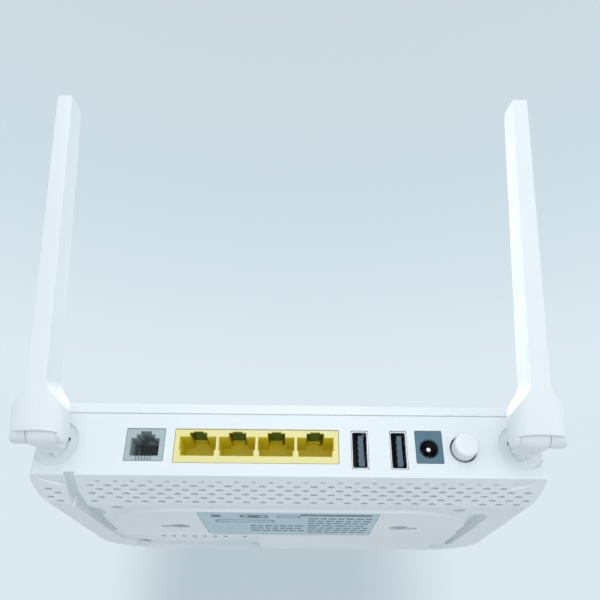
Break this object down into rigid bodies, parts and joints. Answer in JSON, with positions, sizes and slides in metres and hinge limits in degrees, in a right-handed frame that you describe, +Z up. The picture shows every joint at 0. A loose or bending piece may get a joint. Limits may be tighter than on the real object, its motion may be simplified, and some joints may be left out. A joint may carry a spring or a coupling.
{
  "type": "wireless router",
  "caption": "Low rectangular wireless router with rear sockets, a vented underside, and two folding, swivelling antennas.",
  "frame": {"origin": "middle of the case's underside, on the surface it stands on", "axes": "+Z up, sockets and antennas at +Y, front at -Y, +X across the case"},
  "size_m": [0.1864, 0.1754, 0.1352],
  "materials": {
    "case_plastic": "fine satin texture",
    "cover_plastic": "satin gloss",
    "antenna_plastic": "satin",
    "button_plastic": "gloss",
    "label": "printed film",
    "foot": "matt",
    "steel": "plated",
    "tin": "tin plated",
    "gold": "flash plated",
    "aluminium": "extruded",
    "board": "solder mask",
    "yellow_plastic": "satin",
    "grey_plastic": "satin",
    "slate_plastic": "satin",
    "dark_plastic": "satin",
    "chip": "moulded epoxy",
    "capacitor": "shrink sleeve",
    "led": "clear lens",
    "clear_plastic": "clear",
    "cable": "sheath"
  },
  "bodies": {
    "case": {"bottom_cover": "case_plastic", "top_cover": "cover_plastic", "label_sticker": "label", "front_feet": "foot", "case_screws": "steel", "main_board": "board", "board_screws": "steel", "lan_socket_block": "yellow_plastic", "lan_contacts": "gold", "phone_socket": "grey_plastic", "phone_contacts": "gold", "usb_shell_1": "tin", "usb_tongue_1": "dark_plastic", "usb_contacts_1": "gold", "usb_shell_2": "tin", "usb_tongue_2": "dark_plastic", "usb_contacts_2": "gold", "dc_socket_body": "slate_plastic", "dc_socket_pin": "tin", "dc_socket_spring": "tin", "power_switch": "chip", "processor_chip": "chip", "heat_sink": "aluminium", "memory_chip": "chip", "flash_chip": "chip", "wifi_shield": "tin", "phone_line_chip": "chip", "optical_module": "tin", "lan_transformers": "chip", "filter_capacitors": "capacitor", "power_inductors": "chip", "status_leds": "led", "light_guide": "clear_plastic", "reset_switch": "chip", "antenna_cable_right": "cable", "antenna_cable_left": "cable"},
    "swivel_body_right": {"swivel_right": "antenna_plastic"},
    "antenna_body_right": {"fold_pin_right": "steel", "antenna_outer_shell_right": "antenna_plastic", "antenna_inner_shell_right": "antenna_plastic", "antenna_element_right": "board"},
    "swivel_body_left": {"swivel_left": "antenna_plastic"},
    "antenna_body_left": {"fold_pin_left": "steel", "antenna_outer_shell_left": "antenna_plastic", "antenna_inner_shell_left": "antenna_plastic", "antenna_element_left": "board"},
    "power_button_body": {"power_button": "button_plastic"},
    "reset_plunger_body": {"reset_plunger": "dark_plastic"}
  },
  "joints": [
    {"name": "antenna_swivel_right", "type": "hinge", "parent": "case", "child": "swivel_body_right", "pos_m": [0.083, 0.0595, 0.0198], "axis": [0, 1, 0], "range_deg": [-35, 90]},
    {"name": "antenna_fold_right", "type": "hinge", "parent": "swivel_body_right", "child": "antenna_body_right", "pos_m": [0.083, 0.073, 0.0198], "axis": [-1, 0, 0], "range_deg": [-18, 72]},
    {"name": "antenna_swivel_left", "type": "hinge", "parent": "case", "child": "swivel_body_left", "pos_m": [-0.083, 0.0595, 0.0198], "axis": [0, -1, 0], "range_deg": [-35, 90]},
    {"name": "antenna_fold_left", "type": "hinge", "parent": "swivel_body_left", "child": "antenna_body_left", "pos_m": [-0.083, 0.073, 0.0198], "axis": [-1, 0, 0], "range_deg": [-18, 72]},
    {"name": "power_button_press", "type": "slide", "parent": "case", "child": "power_button_body", "axis": [0, -1, 0], "range_m": [0, 0.0025], "stiffness_N_per_m": 600, "springref_m": -0.001},
    {"name": "reset_press", "type": "slide", "parent": "case", "child": "reset_plunger_body", "axis": [0, 0, 1], "range_m": [0, 0.0003], "stiffness_N_per_m": 2000, "springref_m": -0.0005}
  ]
}
